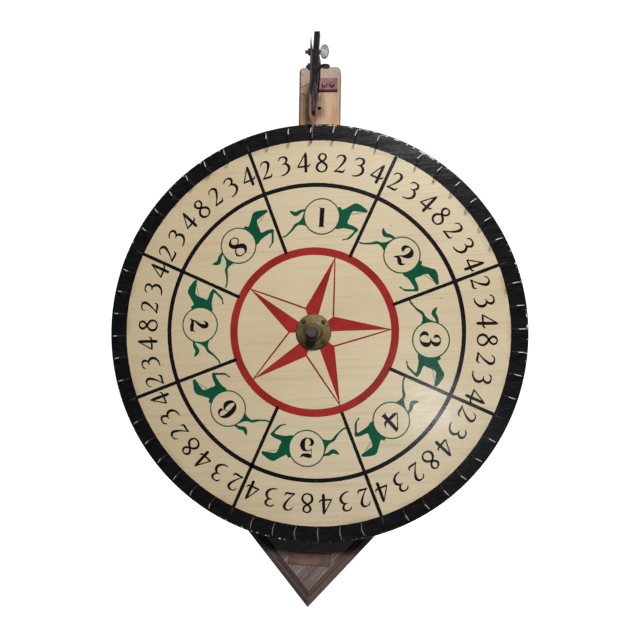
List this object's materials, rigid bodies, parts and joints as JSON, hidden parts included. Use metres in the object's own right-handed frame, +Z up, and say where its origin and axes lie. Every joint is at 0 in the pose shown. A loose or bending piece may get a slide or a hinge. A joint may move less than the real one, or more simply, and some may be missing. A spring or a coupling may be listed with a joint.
{
  "type": "carnival wheel",
  "caption": "Wall-hung carnival wheel: a numbered dial on an axle with wire staples at its rim, stopped by a leather clapper on a pivoting bar.",
  "frame": {"origin": "the wall plane at the rear face of the upright, on the axle's line", "axes": "+X to the right as seen from the front, +Y to the wall, +Z up; the dial faces -Y"},
  "size_m": [0.6099, 0.11, 0.8524],
  "materials": {
    "pine": "raw, aged",
    "dark_wood": "dark stain, waxed",
    "screw_steel": "dull",
    "label": "bare veneer",
    "cast_iron": "black",
    "bronze": "machined",
    "red_paint": "worn gloss",
    "dial_board": "gloss paint",
    "wire": "worn",
    "brass": "patinated",
    "brass_screw": "dull",
    "dark_steel": "dark, oiled",
    "axle_steel": "turned",
    "leather": "worn",
    "nickel": "dull nickel"
  },
  "bodies": {
    "frame": {"upright": "pine", "back_panel": "dark_wood", "moulding_low_right": "dark_wood", "moulding_low_left": "dark_wood", "moulding_top_right": "dark_wood", "moulding_top_left": "dark_wood", "panel_screws": "screw_steel", "label_plate": "label", "bearing_flange": "cast_iron", "bearing_bush": "bronze", "bearing_screws": "screw_steel", "thrust_washer": "bronze", "angle_bracket": "red_paint", "bracket_screws": "screw_steel"},
    "wheel": {"wheel_disc": "dial_board", "rim_staples": "wire", "front_hub_flange": "brass", "front_hub_screws": "brass_screw", "hub_set_screw": "dark_steel", "rear_hub_plate": "dark_steel", "rear_hub_screws": "screw_steel", "axle": "axle_steel", "shaft_collar": "axle_steel", "collar_set_screw": "dark_steel"},
    "clapper": {"clapper_bar": "dark_steel", "clamp_nut": "screw_steel", "pivot_nut": "dark_steel"},
    "tongue": {"leather_tongue": "leather"},
    "clamp_screw": {"clamp_thumb_screw": "nickel"},
    "pivot_screw": {"pivot_thumb_screw": "dark_steel"}
  },
  "joints": [
    {"name": "wheel_spin", "type": "hinge", "parent": "frame", "child": "wheel", "pos_m": [0, -0.071, 0], "axis": [0, 1, 0], "continuous": true},
    {"name": "clapper_tilt", "type": "hinge", "parent": "frame", "child": "clapper", "pos_m": [0, -0.092, 0.3845], "axis": [-1, 0, 0], "range_deg": [-3, 24]},
    {"name": "tongue_bend", "type": "hinge", "parent": "clapper", "child": "tongue", "pos_m": [-0.008, -0.092, 0.317], "axis": [0, 1, 0], "range_deg": [-22, 22], "stiffness_Nm_per_rad": 0.15, "deforming": ["leather_tongue"]},
    {"name": "clamp_screw_turn", "type": "hinge", "parent": "clapper", "child": "clamp_screw", "pos_m": [0, -0.092, 0.4061], "axis": [1, 0, 0], "continuous": true},
    {"name": "pivot_screw_turn", "type": "hinge", "parent": "clapper", "child": "pivot_screw", "pos_m": [0, -0.092, 0.3845], "axis": [1, 0, 0], "continuous": true}
  ]
}
